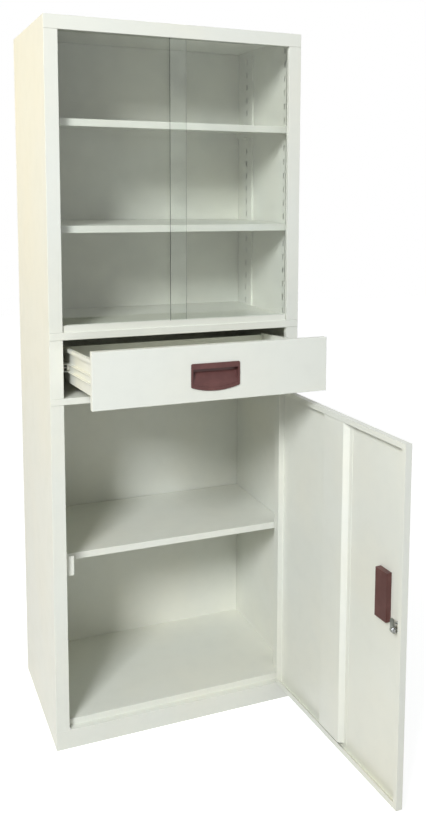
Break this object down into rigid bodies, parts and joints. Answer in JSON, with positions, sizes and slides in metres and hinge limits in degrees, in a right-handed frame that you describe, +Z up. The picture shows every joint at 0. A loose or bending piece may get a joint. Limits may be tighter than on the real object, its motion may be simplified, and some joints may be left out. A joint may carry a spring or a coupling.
{
  "type": "medicine cabinet",
  "caption": "Tall steel medicine cabinet: glass section with sliding panes and shelves, a drawer on runners, and a lower cupboard with a hinged locking door.",
  "frame": {"origin": "on the floor, under the middle of the cabinet's footprint", "axes": "+Z up, -Y the way the front faces, +X to the right seen from the front"},
  "size_m": [0.6, 0.9399, 1.65],
  "materials": {
    "ivory_steel": "satin",
    "maroon_plastic": "satin",
    "clear_glass": "polished",
    "chrome": "polished",
    "white_nylon": "matte",
    "zinc_steel": "satin"
  },
  "bodies": {
    "cabinet": {"left_side_panel": "ivory_steel", "right_side_panel": "ivory_steel", "back_panel": "ivory_steel", "top_panel": "ivory_steel", "upper_floor_panel": "ivory_steel", "drawer_divider_panel": "ivory_steel", "bottom_panel": "ivory_steel", "plinth": "ivory_steel", "hinge_jamb": "ivory_steel", "left_front_upright": "ivory_steel", "left_rear_upright": "ivory_steel", "right_front_upright": "ivory_steel", "right_rear_upright": "ivory_steel", "upper_shelf": "ivory_steel", "middle_shelf": "ivory_steel", "lower_shelf": "ivory_steel", "upper_shelf_clips": "ivory_steel", "middle_shelf_clips": "ivory_steel", "lower_shelf_brackets": "ivory_steel", "top_glass_track": "ivory_steel", "bottom_glass_track": "ivory_steel", "left_cabinet_runner": "ivory_steel", "right_cabinet_runner": "ivory_steel", "left_runner_brackets": "zinc_steel", "right_runner_brackets": "zinc_steel", "front_roller_axles": "zinc_steel", "hinge_post_leaves": "zinc_steel", "hinge_pins": "zinc_steel", "lock_keeper": "ivory_steel"},
    "drawer": {"drawer_front": "ivory_steel", "drawer_tray": "ivory_steel", "drawer_back": "ivory_steel", "drawer_pull": "maroon_plastic", "drawer_front_screws": "zinc_steel", "left_drawer_runner": "ivory_steel", "right_drawer_runner": "ivory_steel", "rear_roller_axles": "zinc_steel"},
    "door": {"door_panel": "ivory_steel", "door_stiffener": "ivory_steel", "door_pull": "maroon_plastic", "hinge_door_leaves": "zinc_steel", "lock_barrel": "chrome", "lock_nut": "chrome"},
    "lock": {"lock_plug": "chrome", "lock_cam": "chrome", "lock_cam_screw": "chrome"},
    "left_pane": {"left_glass_pane": "clear_glass", "left_glass_glides": "white_nylon"},
    "right_pane": {"right_glass_pane": "clear_glass", "right_glass_glides": "white_nylon"},
    "left_front_roller": {"left_front_roller": "white_nylon"},
    "left_rear_roller": {"left_rear_roller": "white_nylon"},
    "right_front_roller": {"right_front_roller": "white_nylon"},
    "right_rear_roller": {"right_rear_roller": "white_nylon"}
  },
  "joints": [
    {"name": "door_hinge", "type": "hinge", "parent": "cabinet", "child": "door", "pos_m": [0.2686, -0.2038, 0.047], "axis": [0, 0, 1], "range_deg": [-92.5, 87]},
    {"name": "drawer_slide", "type": "slide", "parent": "cabinet", "child": "drawer", "axis": [0, -0.9976, 0.0698], "range_m": [-0.231, 0.049]},
    {"name": "left_glass_slide", "type": "slide", "parent": "cabinet", "child": "left_pane", "axis": [1, 0, 0], "range_m": [0, 0.247]},
    {"name": "right_glass_slide", "type": "slide", "parent": "cabinet", "child": "right_pane", "axis": [1, 0, 0], "range_m": [-0.247, 0]},
    {"name": "lock_turn", "type": "hinge", "parent": "door", "child": "lock", "pos_m": [0.28704, -0.71328, 0.422], "axis": [-0.999, -0.0436, 0], "range_deg": [-90, 0]},
    {"name": "left_front_roller_turn", "type": "hinge", "parent": "cabinet", "child": "left_front_roller", "pos_m": [-0.2545, -0.16952, 0.88852], "axis": [1, 0, 0], "range_deg": [-1768.7, 378.3]},
    {"name": "left_rear_roller_turn", "type": "hinge", "parent": "drawer", "child": "left_rear_roller", "pos_m": [-0.2617, -0.10618, 0.88409], "axis": [1, 0, 0], "range_deg": [-1768.7, 378.3]},
    {"name": "right_front_roller_turn", "type": "hinge", "parent": "cabinet", "child": "right_front_roller", "pos_m": [0.2545, -0.16952, 0.88852], "axis": [1, 0, 0], "range_deg": [-1768.7, 378.3]},
    {"name": "right_rear_roller_turn", "type": "hinge", "parent": "drawer", "child": "right_rear_roller", "pos_m": [0.2617, -0.10618, 0.88409], "axis": [1, 0, 0], "range_deg": [-1768.7, 378.3]}
  ],
  "couplings": [
    {"joint": "left_front_roller_turn", "follows": "drawer_slide", "rad_per_m": 133.33},
    {"joint": "left_rear_roller_turn", "follows": "drawer_slide", "rad_per_m": 133.33},
    {"joint": "right_front_roller_turn", "follows": "drawer_slide", "rad_per_m": 133.33},
    {"joint": "right_rear_roller_turn", "follows": "drawer_slide", "rad_per_m": 133.33}
  ]
}
